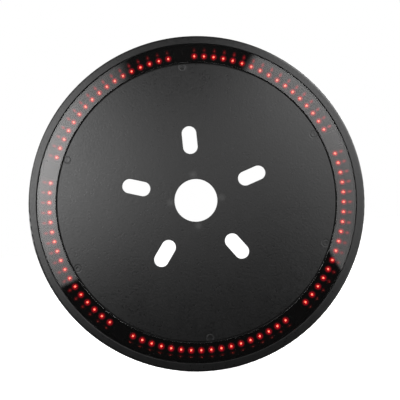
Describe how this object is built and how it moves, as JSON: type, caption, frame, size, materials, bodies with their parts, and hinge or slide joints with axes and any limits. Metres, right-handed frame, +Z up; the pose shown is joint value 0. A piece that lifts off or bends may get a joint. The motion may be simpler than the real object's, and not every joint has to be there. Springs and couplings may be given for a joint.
{
  "type": "spare wheel brake light",
  "caption": "Flat black disc clamped behind a spare wheel, with a hub hole, lug slots and a ring of red LEDs behind a flush smoked lens near its rim.",
  "frame": {"origin": "middle of the hub hole in the plane of the plate's rear mounting face", "axes": "+Y out of the back, towards the vehicle; -Y out of the lit front; +Z up, through the first lug slot"},
  "size_m": [0.3556, 0.017, 0.3556],
  "materials": {
    "housing_plastic": "black, finely textured",
    "cover_plastic": "black, finely textured",
    "lens_smoke": "polished, heavily smoked",
    "sealant": "black sealant",
    "gasket_rubber": "smooth",
    "grommet_rubber": "smooth",
    "trough_gloss": "polished black",
    "board_laminate": "dark solder mask",
    "led_package": "white",
    "led_red": "clear red, lit",
    "resistor_black": "glazed",
    "wire_pvc": "soft sheathing",
    "screw_steel": "zinc plated",
    "screw_black": "blackened steel"
  },
  "bodies": {
    "root": {"front_housing": "housing_plastic", "lens_ring": "lens_smoke", "lens_seal_inner": "sealant", "lens_seal_outer": "sealant", "board_links": "wire_pvc", "board_screws": "screw_steel", "rear_cover": "cover_plastic", "cover_gasket_inner": "gasket_rubber", "cover_gasket_outer": "gasket_rubber", "cover_screws": "screw_black", "cable_grommet": "grommet_rubber", "light_trough_1": "trough_gloss", "circuit_board_1": "board_laminate", "led_bodies_1": "led_package", "led_emitters_1": "led_red", "resistors_1": "resistor_black", "light_trough_2": "trough_gloss", "circuit_board_2": "board_laminate", "led_bodies_2": "led_package", "led_emitters_2": "led_red", "resistors_2": "resistor_black", "light_trough_3": "trough_gloss", "circuit_board_3": "board_laminate", "led_bodies_3": "led_package", "led_emitters_3": "led_red", "resistors_3": "resistor_black", "light_trough_4": "trough_gloss", "circuit_board_4": "board_laminate", "led_bodies_4": "led_package", "led_emitters_4": "led_red", "resistors_4": "resistor_black", "light_trough_5": "trough_gloss", "circuit_board_5": "board_laminate", "led_bodies_5": "led_package", "led_emitters_5": "led_red", "resistors_5": "resistor_black"}
  },
  "joints": []
}
